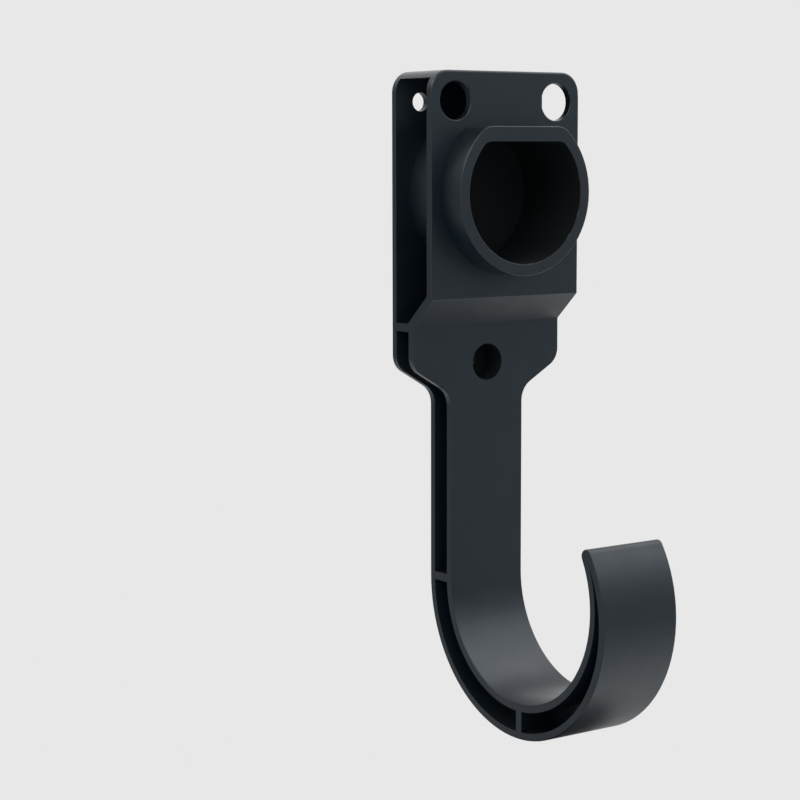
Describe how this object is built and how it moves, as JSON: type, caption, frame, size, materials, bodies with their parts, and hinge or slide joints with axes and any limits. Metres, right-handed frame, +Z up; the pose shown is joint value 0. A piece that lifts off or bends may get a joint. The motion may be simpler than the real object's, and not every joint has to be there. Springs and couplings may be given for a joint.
{
  "type": "ev connector holder",
  "caption": "Wall holder moulded in one piece: a D-shaped socket for a charging connector's nose above a J-shaped hook with ribbed sides for the coiled cable.",
  "frame": {"origin": "on the wall, midway between the two upper screw holes", "axes": "+Z up, +Y into the wall, +X to the right seen from the front"},
  "size_m": [0.075, 0.1096, 0.2631],
  "materials": {
    "black_plastic": "moulded black plastic with a fine matte texture"
  },
  "bodies": {
    "root": {"holder": "black_plastic"}
  },
  "joints": []
}
